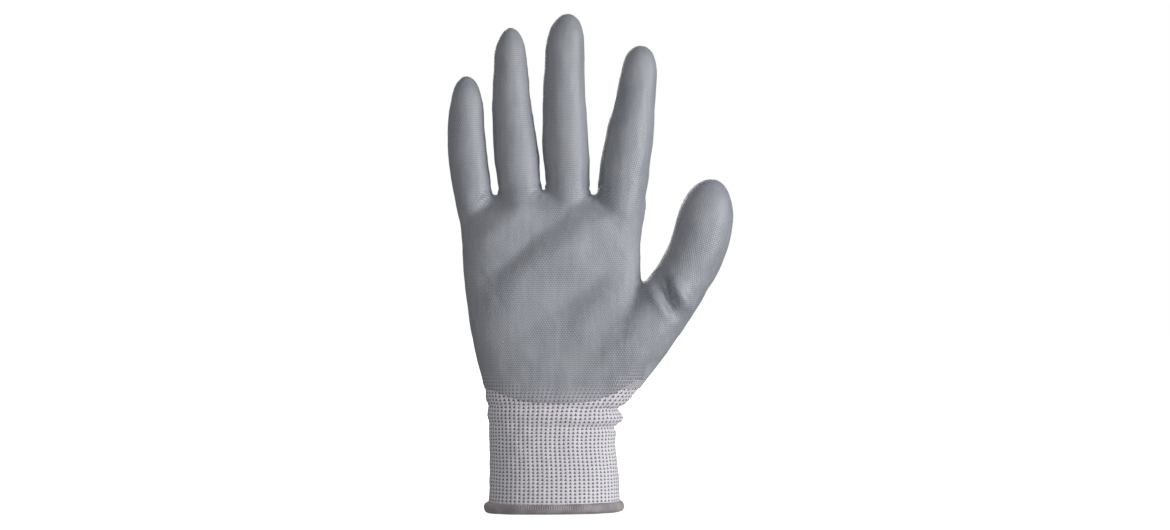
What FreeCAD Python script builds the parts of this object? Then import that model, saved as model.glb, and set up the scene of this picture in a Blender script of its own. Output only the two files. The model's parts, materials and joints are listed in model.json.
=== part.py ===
import FreeCAD, Part
import os
import Sketcher

# A palm-dipped knitted work glove for the right hand, standing open as if a hand filled it.
# Frame, millimetres: origin at the centre of the hem's lower face, +Z up along the hand,
# the palm side faces -Y and the thumb is on the +X side.
# The glove bends where the hand inside it bends. Between two rigid stretches lies a flex zone,
# a short tube of the same fabric, long enough for the two stretches to clear each other when bent.

sizes = {
    # fabric
    "knit_wall": 1.0,
    "coat_wall": 0.4,
    "coat_edge": 2.0,
    "flex_clearance": 0.35,
    "hinge_offset": 3.6,
    # hem and cuff
    "hem_height": 5.5,
    "hem_under": 1.2,
    "hem_proud": 1.6,
    "hem_inner": 1.0,
    "cuff_length": 43.5,
    "cuff_mouth_half_width": 33.0,
    "cuff_mouth_half_depth": 22.0,
    "cuff_top_middle": -0.5,
    "cuff_top_half_width": 31.5,
    "elastic_first": 9.0,
    "elastic_pitch": 3.8,
    "elastic_thickness": 0.7,
    # wrist
    "wrist_half_depth": 19.5,
    "wrist_bend": 35.0,
    # palm
    "palm_length": 104.5,
    "heel_middle": 1.5,
    "heel_half_width": 35.0,
    "thenar_rise": 28.5,
    "thenar_middle": 0.5,
    "thenar_half_width": 40.5,
    "thenar_half_depth": 17.5,
    "web_rise": 61.5,
    "web_middle": -0.9,
    "web_half_width": 44.4,
    "web_half_depth": 15.0,
    "knuckle_margin": 0.5,
    # stalls: how far they stand apart at the crotches
    "little_gap": 2.5,
    "ring_gap": 2.1,
    "index_gap": 4.2,
    # little finger stall
    "little_lean": -3.2,
    "little_root_radius": 9.7,
    "little_tip_radius": 8.0,
    "little_base_length": 6.0,
    "little_proximal_length": 18.0,
    "little_middle_length": 16.5,
    "little_distal_length": 16.5,
    # ring finger stall
    "ring_lean": -3.7,
    "ring_root_radius": 10.9,
    "ring_tip_radius": 7.8,
    "ring_base_length": 6.0,
    "ring_proximal_length": 26.0,
    "ring_middle_length": 25.0,
    "ring_distal_length": 24.0,
    # middle finger stall
    "middle_root_x": 7.0,
    "middle_lean": -0.3,
    "middle_root_radius": 11.4,
    "middle_tip_radius": 9.0,
    "middle_base_length": 6.0,
    "middle_proximal_length": 28.0,
    "middle_middle_length": 27.0,
    "middle_distal_length": 27.0,
    # index finger stall
    "index_lean": 7.9,
    "index_root_radius": 12.4,
    "index_tip_radius": 8.4,
    "index_base_length": 6.0,
    "index_proximal_length": 23.5,
    "index_middle_length": 22.0,
    "index_distal_length": 21.5,
    # how far each finger joint folds
    "base_bend": 55.0,
    "middle_bend": 80.0,
    "tip_bend": 40.0,
    # thumb
    "thumb_start_x": 29.1,
    "thumb_start_rise": 13.3,
    "thumb_root_lean": 34.6,
    "thumb_root_length": 61.1,
    "thumb_lean": 20.9,
    "thumb_root_radius": 14.5,
    "thumb_tip_radius": 13.0,
    "thumb_proximal_length": 22.0,
    "thumb_distal_length": 27.0,
    "thumb_base_bend": 35.0,
    "thumb_tip_bend": 50.0,
    # size of the blocks that trim the pieces
    "trim_reach": 300.0,
}

fingers = ["little", "ring", "middle", "index"]

doc = FreeCAD.newDocument("WorkGlove")
sheet = doc.addObject("Spreadsheet::Sheet", "Sizes")
for row, (word, value) in enumerate(sizes.items(), start=1):
    sheet.set(f"A{row}", str(value))
    sheet.setAlias(f"A{row}", word)
doc.recompute()

subParts = []


def cell(word):
    return f"Sizes.{word}"


def bind(thing, **expressions):
    for name, expression in expressions.items():
        thing.setExpression(name, expression)


def finish(thing, label):
    """Name a finished sub-part and keep it for writing."""
    thing.Label = label
    subParts.append(thing)
    return thing


def cut(name, base, tool):
    thing = doc.addObject("Part::Cut", name)
    thing.Base = base
    thing.Tool = tool
    return thing


def common(name, base, tool):
    thing = doc.addObject("Part::Common", name)
    thing.Base = base
    thing.Tool = tool
    return thing


def fuse(name, *pieces):
    thing = doc.addObject("Part::MultiFuse", name)
    thing.Shapes = list(pieces)
    return thing


def originPlane(body, role):
    return [plane for plane in body.Origin.OriginFeatures if plane.Role == role][0]


# ---- ovals: two half circles joined by straight sides, lofted from one height to the next

def ovalSketch(body, name, height, middle, halfWidth, halfDepth):
    sketch = body.newObject("Sketcher::SketchObject", name)
    sketch.AttachmentSupport = (originPlane(body, "XY_Plane"), [""])
    sketch.MapMode = "FlatFace"
    sketch.setExpression("AttachmentOffset.Base.z", height)
    vector = FreeCAD.Vector
    up = vector(0, 0, 1)
    back = sketch.addGeometry(Part.LineSegment(vector(-20, 15, 0), vector(20, 15, 0)))
    front = sketch.addGeometry(Part.LineSegment(vector(20, -15, 0), vector(-20, -15, 0)))
    right = sketch.addGeometry(
        Part.ArcOfCircle(Part.Circle(vector(20, 0, 0), up, 15), -1.570796, 1.570796))
    left = sketch.addGeometry(
        Part.ArcOfCircle(Part.Circle(vector(-20, 0, 0), up, 15), 1.570796, 4.712389))
    sketch.addConstraint(Sketcher.Constraint("Tangent", back, 2, right, 2))
    sketch.addConstraint(Sketcher.Constraint("Tangent", back, 1, left, 1))
    sketch.addConstraint(Sketcher.Constraint("Tangent", front, 1, right, 1))
    sketch.addConstraint(Sketcher.Constraint("Tangent", front, 2, left, 2))
    sketch.addConstraint(Sketcher.Constraint("Equal", right, left))
    sketch.addConstraint(Sketcher.Constraint("Horizontal", back))
    sketch.addConstraint(Sketcher.Constraint("PointOnObject", right, 3, -1))
    radius = sketch.addConstraint(Sketcher.Constraint("Radius", right, 15))
    toRight = sketch.addConstraint(Sketcher.Constraint("DistanceX", -1, 1, right, 3, 20))
    toLeft = sketch.addConstraint(Sketcher.Constraint("DistanceX", left, 3, -1, 1, 20))
    sketch.setExpression(f"Constraints[{radius}]", halfDepth)
    sketch.setExpression(f"Constraints[{toRight}]", f"{halfWidth} + {middle} - ({halfDepth})")
    sketch.setExpression(f"Constraints[{toLeft}]", f"{halfWidth} - ({middle}) - ({halfDepth})")
    return sketch


def ovalForm(name, sections, grow="0"):
    """A solid through ovals given as (height, middle, half width, half depth), grown all round."""
    body = doc.addObject("PartDesign::Body", name)
    sketches = []
    for count, (height, middle, halfWidth, halfDepth) in enumerate(sections):
        sketches.append(ovalSketch(body, f"{name}_oval_{count}", height, middle,
                                   f"({halfWidth} + {grow})", f"({halfDepth} + {grow})"))
    loft = body.newObject("PartDesign::AdditiveLoft", f"{name}_loft")
    loft.Profile = sketches[0]
    loft.Sections = sketches[1:]
    return body


# ---- blocks that keep or remove one side of a piece

def slab(name, low, high):
    """Everything between two heights."""
    block = doc.addObject("Part::Box", name)
    reach = cell("trim_reach")
    bind(block, Length=reach, Width=reach, Height=f"{high} - ({low})")
    bind(block, Placement=f"placement(vector(-{reach} / 2; -{reach} / 2; {low}); rotationz(0))")
    return block


def palmSide(name, edge, slant="0"):
    """Everything on the palm side of a plane that stands at y = edge and leans back by slant."""
    block = doc.addObject("Part::Box", name)
    reach = cell("trim_reach")
    bind(block, Length=reach, Width=reach, Height=f"2 * {reach}")
    bind(block, Placement=f"placement(vector({reach} / 2; {edge}; 0); rotationx(-({slant})) * rotationz(180))"
                          f" * placement(vector(0; 0; -{reach}); rotationz(0))")
    return block


# ---- stalls: cones along a leaning line, each stretch built from its own start upwards

def stallPlace(root, lean, along):
    """Placement of a point so far along a leaning line from root, given as (x, z)."""
    return (f"placement(vector({root[0]} + ({along}) * sin({lean}); 0; "
            f"{root[1]} + ({along}) * cos({lean})); rotationy({lean}))")


def coneAlong(name, start, end, radiusAt, grow="0"):
    cone = doc.addObject("Part::Cone", name)
    bind(cone, Radius1=f"{radiusAt(start)} + {grow}", Radius2=f"{radiusAt(end)} + {grow}",
         Height=f"{end} - ({start})")
    return cone


def tubeBetween(label, start, end, radiusAt, grow="0"):
    """A plain tube of knit wall, its outside grown by the coating where that lies on it."""
    outside = coneAlong(f"{label}_outside", start, end, radiusAt, grow)
    inside = coneAlong(f"{label}_inside", start, end, radiusAt, f"-{cell('knit_wall')}")
    return cut(f"{label}_tube", outside, inside)


def coatBetween(label, start, end, radiusAt):
    outside = coneAlong(f"{label}_coat_outside", start, end, radiusAt, cell("coat_wall"))
    inside = coneAlong(f"{label}_coat_inside", start, end, radiusAt)
    shell = cut(f"{label}_coat_shell", outside, inside)
    return common(f"{label}_coat_piece", shell, palmSide(f"{label}_coat_side", cell("coat_edge")))


def domed(name, start, centre, tipRadius, radiusAt, grow="0"):
    """A cone from start to the dome's centre, closed by half a ball."""
    cone = coneAlong(f"{name}_cone", start, centre, radiusAt, grow)
    ball = doc.addObject("Part::Sphere", f"{name}_ball")
    ball.Angle1 = 0
    bind(ball, Radius=f"{tipRadius} + {grow}")
    bind(ball, Placement=f"placement(vector(0; 0; {centre} - ({start})); rotationz(0))")
    return fuse(f"{name}_domed", cone, ball)


def stallTip(label, start, centre, tipRadius, radiusAt):
    """Fingertip knit, and the coating that runs over its end on to the back."""
    outside = domed(f"{label}_outside", start, centre, tipRadius, radiusAt)
    inside = domed(f"{label}_inside", start, centre, tipRadius, radiusAt, f"-{cell('knit_wall')}")
    knit = cut(f"{label}_knit_piece", outside, inside)
    coated = domed(f"{label}_coated", start, centre, tipRadius, radiusAt, cell("coat_wall"))
    shell = cut(f"{label}_coat_shell", coated, outside)
    rise = f"({tipRadius} + 2 * {cell('coat_wall')} - {cell('coat_edge')})"
    side = palmSide(f"{label}_coat_side", cell("coat_edge"), f"atan({rise} / ({centre} - ({start})))")
    return knit, common(f"{label}_coat_piece", shell, side)


def flexHalf(radius, bend):
    """Half the length of a flex zone: what two stretches need to clear each other when bent."""
    return (f"(({radius} + {cell('coat_wall')} - {cell('hinge_offset')}) * tan({bend} / 2) "
            f"+ {cell('flex_clearance')})")


# ---- heights that the pieces share

wristHalf = f"({cell('wrist_half_depth')} * tan({cell('wrist_bend')} / 2) + {cell('flex_clearance')})"
palmStart = f"({cell('cuff_length')} + 2 * {wristHalf})"
palmTop = f"({palmStart} + {cell('palm_length')})"
webHeight = f"({palmStart} + {cell('web_rise')})"


def rootX(finger):
    """Middle of a stall where it leaves the palm: stalls stand side by side, a gap apart."""
    middle = cell("middle_root_x")
    if finger == "middle":
        return f"({middle})"
    if finger == "ring":
        return f"({middle} - {cell('middle_root_radius')} - {cell('ring_gap')} - {cell('ring_root_radius')})"
    if finger == "little":
        ringEdge = f"{rootX('ring')} - {cell('ring_root_radius')}"
        return f"({ringEdge} - {cell('little_gap')} - {cell('little_root_radius')})"
    return f"({middle} + {cell('middle_root_radius')} + {cell('index_gap')} + {cell('index_root_radius')})"


knuckleLeft = f"({rootX('little')} - {cell('little_root_radius')} - {cell('knuckle_margin')})"
knuckleRight = f"({rootX('index')} + {cell('index_root_radius')} + {cell('knuckle_margin')})"
knuckleDepth = f"({cell('index_root_radius')} + {cell('knuckle_margin')})"

mouthOval = (cell("cuff_mouth_half_width"), cell("cuff_mouth_half_depth"))
cuffTopOval = (cell("cuff_top_middle"), cell("cuff_top_half_width"), cell("wrist_half_depth"))
heelOval = (cell("heel_middle"), cell("heel_half_width"), cell("wrist_half_depth"))

cuffSections = [
    (cell("hem_under"), "0", *mouthOval),
    (cell("cuff_length"), *cuffTopOval),
]
wristSections = [
    (cell("cuff_length"), *cuffTopOval),
    (palmStart, *heelOval),
]
palmSections = [
    (palmStart, *heelOval),
    (f"{palmStart} + {cell('thenar_rise')}", cell("thenar_middle"), cell("thenar_half_width"),
     cell("thenar_half_depth")),
    (webHeight, cell("web_middle"), cell("web_half_width"), cell("web_half_depth")),
    (palmTop, f"(({knuckleLeft} + {knuckleRight}) / 2)", f"(({knuckleRight} - {knuckleLeft}) / 2)",
     knuckleDepth),
]


def makeCuff():
    """Knitted cuff, the elastic yarns on its inner face and the overedge thread round its mouth."""
    outside = ovalForm("cuff_outside", cuffSections)
    inside = ovalForm("cuff_inside", cuffSections, f"-{cell('knit_wall')}")
    knit = finish(cut("cuff_knit_piece", outside, inside), "cuff_knit")

    bare = ovalForm("cuff_bare", cuffSections, f"-({cell('knit_wall')} + {cell('elastic_thickness')})")
    layer = cut("elastic_layer", inside, bare)
    count = int((sizes["cuff_length"] - sizes["elastic_first"]) // sizes["elastic_pitch"])
    bands = []
    for turn in range(count):
        low = f"({cell('elastic_first')} + {turn} * {cell('elastic_pitch')})"
        bands.append(slab(f"elastic_band_{turn}", low, f"({low} + {cell('elastic_thickness')})"))
    finish(common("elastic_piece", layer, fuse("elastic_bands", *bands)), "cuff_elastic")

    mouth = [("0", "0", *mouthOval), (cell("hem_height"), "0", *mouthOval)]
    rolled = ovalForm("hem_outside", mouth, cell("hem_proud"))
    opening = ovalForm("hem_opening", mouth, f"-({cell('knit_wall')} + {cell('hem_inner')})")
    ring = cut("hem_ring", rolled, opening)
    finish(cut("hem_piece", ring, knit), "hem_binding")


def makeWrist():
    outside = ovalForm("wrist_outside", wristSections)
    inside = ovalForm("wrist_inside", wristSections, f"-{cell('knit_wall')}")
    finish(cut("wrist_piece", outside, inside), "wrist_flex_knit")


thumbStart = (cell("thumb_start_x"), f"({palmStart} + {cell('thumb_start_rise')})")
thumbHinge = (
    f"({thumbStart[0]} + {cell('thumb_root_length')} * sin({cell('thumb_root_lean')}))",
    f"({thumbStart[1]} + {cell('thumb_root_length')} * cos({cell('thumb_root_lean')}))",
)
thumbBaseHalf = flexHalf(cell("thumb_root_radius"), cell("thumb_base_bend"))
thumbTurn = f"({cell('thumb_root_lean')} - {cell('thumb_lean')})"


def thumbRoot(name, grow="0"):
    """The tube under the thumb: from a ball in the heel of the hand to just past the thumb's hinge."""
    radius = f"({cell('thumb_root_radius')} + {grow})"
    tube = doc.addObject("Part::Cylinder", f"{name}_tube")
    bind(tube, Radius=radius, Height=f"{cell('thumb_root_length')} + {radius} * tan({thumbTurn})")
    ball = doc.addObject("Part::Sphere", f"{name}_ball")
    bind(ball, Radius=radius)
    whole = fuse(f"{name}_form", tube, ball)
    bind(whole, Placement=stallPlace(thumbStart, cell("thumb_root_lean"), "0"))
    return whole


def makePalm():
    """Lower palm with the thumb's root, upper palm with four stall holes, and their coatings."""
    outside = ovalForm("palm_outside", palmSections)
    inside = ovalForm("palm_inside", palmSections, f"-{cell('knit_wall')}")
    coated = ovalForm("palm_coated", palmSections, cell("coat_wall"))
    root = thumbRoot("thumb_root_outside")
    rootInside = thumbRoot("thumb_root_inside", f"-{cell('knit_wall')}")
    rootCoated = thumbRoot("thumb_root_coated", cell("coat_wall"))

    past = doc.addObject("Part::Box", "past_thumb_hinge")
    reach = cell("trim_reach")
    bind(past, Length=reach, Width=reach, Height=reach)
    bind(past, Placement=stallPlace(thumbHinge, cell("thumb_lean"), f"-{thumbBaseHalf}")
         + f" * placement(vector(-{cell('thumb_root_radius')} * 2; -{reach} / 2; 0); rotationz(0))")

    lowerSlab = slab("lower_slab", palmStart, webHeight)
    upperSlab = slab("upper_slab", webHeight, palmTop)
    aboveHeel = slab("above_heel", palmStart, f"{palmTop} + {reach}")

    def lower(name, form, tube):
        rootAbove = cut(f"{name}_root", common(f"{name}_root_above", tube, aboveHeel), past)
        return fuse(f"{name}_whole", common(f"{name}_slab", form, lowerSlab), rootAbove)

    lowerHollow = cut("lower_hollow", lower("lower_outside", outside, root), inside)
    finish(cut("lower_palm_piece", lowerHollow, rootInside), "lower_palm_knit")
    side = palmSide("palm_coat_side", cell("coat_edge"))
    lowerCoated = common("lower_coated_side", lower("lower_coated", coated, rootCoated), side)
    finish(cut("lower_coat_piece", cut("lower_coat_shell", lowerCoated, outside), root), "lower_palm_coat")

    holes = []
    for finger in fingers:
        hole = doc.addObject("Part::Cylinder", f"{finger}_hole")
        bind(hole, Radius=f"{cell(finger + '_root_radius')} - {cell('knit_wall')}",
             Height=cell(f"{finger}_root_radius"))
        half = f"-{cell(finger + '_root_radius')} / 2"
        bind(hole, Placement=stallPlace((rootX(finger), palmTop), cell(f"{finger}_lean"), half))
        holes.append(hole)
    belowTop = slab("below_top", palmStart, f"({palmTop} - {cell('knit_wall')})")
    hollow = fuse("upper_hollow", common("upper_inside", inside, belowTop), *holes)
    finish(cut("upper_palm_piece", common("upper_outside", outside, upperSlab), hollow), "upper_palm_knit")
    upperShell = cut("upper_coat_shell", common("upper_coated", coated, upperSlab), outside)
    finish(common("upper_coat_piece", upperShell, side), "upper_palm_coat")


def makeFinger(finger):
    root = (rootX(finger), palmTop)
    lean = cell(f"{finger}_lean")
    rootRadius = cell(f"{finger}_root_radius")
    tipRadius = cell(f"{finger}_tip_radius")
    baseHinge = cell(f"{finger}_base_length")
    middleHinge = f"({baseHinge} + {cell(finger + '_proximal_length')})"
    tipHinge = f"({middleHinge} + {cell(finger + '_middle_length')})"
    centre = f"({tipHinge} + {cell(finger + '_distal_length')} - {tipRadius})"

    def radiusAt(along):
        return f"({rootRadius} - ({rootRadius} - {tipRadius}) * ({along}) / {centre})"

    baseHalf = flexHalf(radiusAt(baseHinge), cell("base_bend"))
    middleHalf = flexHalf(radiusAt(middleHinge), cell("middle_bend"))
    tipHalf = flexHalf(radiusAt(tipHinge), cell("tip_bend"))

    def stand(thing, along):
        bind(thing, Placement=stallPlace(root, lean, along))
        return thing

    # the zone above the crotch starts inside the palm and is trimmed flat on its top
    below = f"-({rootRadius} / 2)"
    zone = stand(tubeBetween(f"{finger}_base", below, f"({baseHinge} + {baseHalf})", radiusAt,
                             cell("coat_wall")), below)
    palmSlab = slab(f"{finger}_palm_slab", "0", palmTop)
    finish(cut(f"{finger}_base_piece", zone, palmSlab), f"{finger}_base_flex")

    stretches = [
        ("proximal", f"({baseHinge} + {baseHalf})", f"({middleHinge} - {middleHalf})"),
        ("middle", f"({middleHinge} + {middleHalf})", f"({tipHinge} - {tipHalf})"),
    ]
    for name, start, end in stretches:
        label = f"{finger}_{name}"
        finish(stand(tubeBetween(label, start, end, radiusAt), start), f"{label}_knit")
        finish(stand(coatBetween(label, start, end, radiusAt), start), f"{label}_coat")
    zones = [("middle", middleHinge, middleHalf), ("tip", tipHinge, tipHalf)]
    for name, hinge, half in zones:
        label = f"{finger}_{name}_flex"
        start = f"({hinge} - {half})"
        tube = tubeBetween(label, start, f"({hinge} + {half})", radiusAt, cell("coat_wall"))
        finish(stand(tube, start), label)
    start = f"({tipHinge} + {tipHalf})"
    knit, coat = stallTip(f"{finger}_distal", start, centre, tipRadius, radiusAt)
    finish(stand(knit, start), f"{finger}_distal_knit")
    finish(stand(coat, start), f"{finger}_distal_coat")


def makeThumb():
    lean = cell("thumb_lean")
    rootRadius = cell("thumb_root_radius")
    tipRadius = cell("thumb_tip_radius")
    tipHinge = cell("thumb_proximal_length")
    centre = f"({tipHinge} + {cell('thumb_distal_length')} - {tipRadius})"

    def radiusAt(along):
        return f"({rootRadius} - ({rootRadius} - {tipRadius}) * ({along}) / {centre})"

    def stand(thing, along):
        bind(thing, Placement=stallPlace(thumbHinge, lean, along))
        return thing

    tipHalf = flexHalf(radiusAt(tipHinge), cell("thumb_tip_bend"))
    start = f"(-{thumbBaseHalf})"
    zone = tubeBetween("thumb_base_flex", start, thumbBaseHalf, radiusAt, cell("coat_wall"))
    finish(stand(zone, start), "thumb_base_flex")
    start = thumbBaseHalf
    end = f"({tipHinge} - {tipHalf})"
    finish(stand(tubeBetween("thumb_proximal", start, end, radiusAt), start), "thumb_proximal_knit")
    finish(stand(coatBetween("thumb_proximal", start, end, radiusAt), start), "thumb_proximal_coat")
    end = f"({tipHinge} + {tipHalf})"
    start = f"({tipHinge} - {tipHalf})"
    zone = tubeBetween("thumb_tip_flex", start, end, radiusAt, cell("coat_wall"))
    finish(stand(zone, start), "thumb_tip_flex")
    knit, coat = stallTip("thumb_distal", end, centre, tipRadius, radiusAt)
    finish(stand(knit, end), "thumb_distal_knit")
    finish(stand(coat, end), "thumb_distal_coat")


makeCuff()
makeWrist()
makePalm()
for name in fingers:
    makeFinger(name)
makeThumb()
doc.recompute()

faults = []
for thing in doc.Objects:
    if "Invalid" in thing.State or "Error" in thing.State:
        faults.append(f"{thing.Name} {thing.State}")
for thing in subParts:
    if thing.Shape.isNull() or not thing.Shape.isValid() or not thing.Shape.Solids:
        faults.append(f"{thing.Label} has no valid shape")
if faults:
    raise RuntimeError("; ".join(faults))

os.makedirs("parts", exist_ok=True)
for thing in subParts:
    thing.Shape.exportStep(f"parts/{thing.Label}.step")
    print(f"{thing.Label}: {len(thing.Shape.Solids)} solid, {thing.Shape.Volume:.1f} mm3")
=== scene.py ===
import bpy
import bmesh
import json
import math
import numpy as np
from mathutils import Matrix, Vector, noise
from mathutils.bvhtree import BVHTree

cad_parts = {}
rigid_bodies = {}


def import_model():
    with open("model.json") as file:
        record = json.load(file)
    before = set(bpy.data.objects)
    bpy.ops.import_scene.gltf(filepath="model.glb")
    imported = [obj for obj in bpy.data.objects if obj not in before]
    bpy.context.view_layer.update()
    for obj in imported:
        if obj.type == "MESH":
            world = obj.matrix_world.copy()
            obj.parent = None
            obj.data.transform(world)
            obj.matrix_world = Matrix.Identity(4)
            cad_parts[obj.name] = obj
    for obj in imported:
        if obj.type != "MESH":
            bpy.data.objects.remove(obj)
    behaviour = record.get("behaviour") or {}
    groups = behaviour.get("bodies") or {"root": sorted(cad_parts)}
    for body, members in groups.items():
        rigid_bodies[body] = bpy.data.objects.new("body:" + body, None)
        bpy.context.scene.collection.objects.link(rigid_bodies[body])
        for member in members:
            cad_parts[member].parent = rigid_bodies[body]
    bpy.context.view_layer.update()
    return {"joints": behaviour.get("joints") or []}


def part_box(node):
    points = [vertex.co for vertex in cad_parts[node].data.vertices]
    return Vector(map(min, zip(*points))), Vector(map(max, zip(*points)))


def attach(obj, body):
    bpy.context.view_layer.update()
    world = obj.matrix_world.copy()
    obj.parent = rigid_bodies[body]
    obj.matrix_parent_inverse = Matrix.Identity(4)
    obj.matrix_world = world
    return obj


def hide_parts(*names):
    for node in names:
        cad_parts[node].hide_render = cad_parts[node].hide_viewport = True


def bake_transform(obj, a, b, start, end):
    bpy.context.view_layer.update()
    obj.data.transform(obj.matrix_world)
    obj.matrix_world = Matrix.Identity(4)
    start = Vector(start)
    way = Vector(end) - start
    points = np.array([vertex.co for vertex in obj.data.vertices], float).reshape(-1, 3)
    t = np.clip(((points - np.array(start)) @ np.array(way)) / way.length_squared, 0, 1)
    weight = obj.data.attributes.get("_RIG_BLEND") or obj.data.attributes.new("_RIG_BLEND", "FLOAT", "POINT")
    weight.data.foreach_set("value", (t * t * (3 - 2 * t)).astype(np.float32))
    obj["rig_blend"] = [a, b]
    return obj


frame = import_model()
joints = {joint["name"]: joint for joint in frame["joints"]}
mm = 0.001

print("stage: frame loaded")


def deselectAll():
    bpy.ops.object.select_all(action="DESELECT")


def makeActive(piece):
    deselectAll()
    piece.select_set(True)
    bpy.context.view_layer.objects.active = piece


def applyModifier(piece, kind, **settings):
    modifier = piece.modifiers.new(kind.title(), kind)
    for name, value in settings.items():
        setattr(modifier, name, value)
    makeActive(piece)
    bpy.ops.object.modifier_apply(modifier=modifier.name)


# smooth value at a place, through rows of (place, value, value ...)
def curveThrough(table, at):
    rows = np.array(table, float)
    places = rows[:, 0]
    slopes = np.gradient(rows[:, 1:], places, axis=0)
    at = np.clip(np.atleast_1d(np.asarray(at, float)), places[0], places[-1])
    low = np.clip(np.searchsorted(places, at, side="right") - 1, 0, len(places) - 2)
    span = (places[low + 1] - places[low])[:, None]
    t = (at[:, None] - places[low][:, None]) / span
    rise = rows[low + 1, 1:] - rows[low, 1:]
    start, end = slopes[low] * span, slopes[low + 1] * span
    return (rows[low, 1:] + t * start + t * t * (3 * rise - 2 * start - end)
            + t ** 3 * (start + end - 2 * rise))


def softStep(value, low, high):
    t = np.clip((value - low) / (high - low), 0, 1)
    return t * t * (3 - 2 * t)


# a point ("co") or normal for every vertex of a piece
def vertexValues(piece, kind):
    values = np.empty(len(piece.data.vertices) * 3)
    piece.data.vertices.foreach_get(kind, values)
    return values.reshape(-1, 3)


def meshPoints(piece):
    return vertexValues(piece, "co")


def meshNormals(piece):
    return vertexValues(piece, "normal")


# the vertex at each face corner
def cornerVertices(mesh):
    corners = np.empty(len(mesh.loops), int)
    mesh.loops.foreach_get("vertex_index", corners)
    return corners


def setPoints(piece, points):
    piece.data.vertices.foreach_set("co", np.asarray(points, float).ravel())
    piece.data.update()


def linkNew(name, data):
    piece = bpy.data.objects.new(name, data)
    bpy.context.scene.collection.objects.link(piece)
    return piece


def turnFacesOut(piece):
    makeActive(piece)
    bpy.ops.object.mode_set(mode="EDIT")
    bpy.ops.mesh.select_all(action="SELECT")
    bpy.ops.mesh.normals_make_consistent(inside=False)
    bpy.ops.object.mode_set(mode="OBJECT")


# a sine or cosine flattened towards the corners of a rounded box
def squared(value, power):
    return np.sign(value) * np.abs(value) ** power


# a closed tube of unit radius, one unit from ring to ring, extruded upwards from a disc
def ringTube(name, sides, rings):
    deselectAll()
    bpy.ops.mesh.primitive_cylinder_add(vertices=sides, radius=1, depth=1, location=(0, 0, 0.5))
    piece = bpy.context.object
    piece.name = name
    bpy.ops.object.transform_apply(location=True, rotation=True, scale=True)
    bpy.ops.object.mode_set(mode="EDIT")
    bpy.ops.mesh.select_mode(type="FACE")
    bpy.ops.mesh.select_all(action="DESELECT")
    shape = bmesh.from_edit_mesh(piece.data)
    for face in shape.faces:
        face.select = face.normal.z > 0.9
    bmesh.update_edit_mesh(piece.data)
    for _ in range(rings - 2):
        bpy.ops.mesh.extrude_region_move(TRANSFORM_OT_translate={"value": (0, 0, 1)})
    bpy.ops.object.mode_set(mode="OBJECT")
    return piece


# gives ring i of a unit tube its centre, its sideways direction, its oval and its corners
def shapeTube(piece, centres, across, halfWidths, fronts, backs, squareness):
    points = meshPoints(piece)
    ring = np.rint(points[:, 2]).astype(int)
    angle = np.arctan2(points[:, 1], points[:, 0])
    power = 2 / np.asarray(squareness)[ring]
    side = squared(np.cos(angle), power)
    depth = squared(np.sin(angle), power)
    reach = np.where(depth < 0, np.asarray(fronts)[ring], np.asarray(backs)[ring])
    sideways = (side * np.asarray(halfWidths)[ring])[:, None]
    placed = np.asarray(centres)[ring] + np.asarray(across)[ring] * sideways
    placed[:, 1] += depth * reach
    setPoints(piece, placed * mm)


# where the glove bends, read from the frame, in millimetres
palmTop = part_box("upper_palm_knit")[1].z / mm
fingerNames = ["little", "ring", "middle", "index"]


# root point, direction and sideways direction of a stall
def stallAxis(firstJoint, top=None):
    joint = joints[firstJoint]
    turn = joint["axis"]
    length = math.hypot(turn[0], turn[2])
    direction = np.array([-turn[2] / length, 0, turn[0] / length])
    across = np.array([direction[2], 0, -direction[0]])
    root = np.array([joint["pos_m"][0], 0, joint["pos_m"][2]]) / mm
    if top is not None:
        root = root - direction * (root[2] - top) / direction[2]
    return root, direction, across


def hingeAlong(jointName, root, direction):
    place = np.array(joints[jointName]["pos_m"]) / mm
    return float(np.dot(place - root, direction))


stalls = {}
for finger in fingerNames:
    root, direction, across = stallAxis(f"{finger}_base_bend", palmTop)
    stalls[finger] = {"root": root, "direction": direction, "across": across}
    for part in ("base", "middle", "tip"):
        stalls[finger][part] = hingeAlong(f"{finger}_{part}_bend", root, direction)
root, direction, across = stallAxis("thumb_base_bend")
stalls["thumb"] = {"root": root, "direction": direction, "across": across, "base": 0.0,
                   "tip": hingeAlong("thumb_tip_bend", root, direction)}

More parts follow.
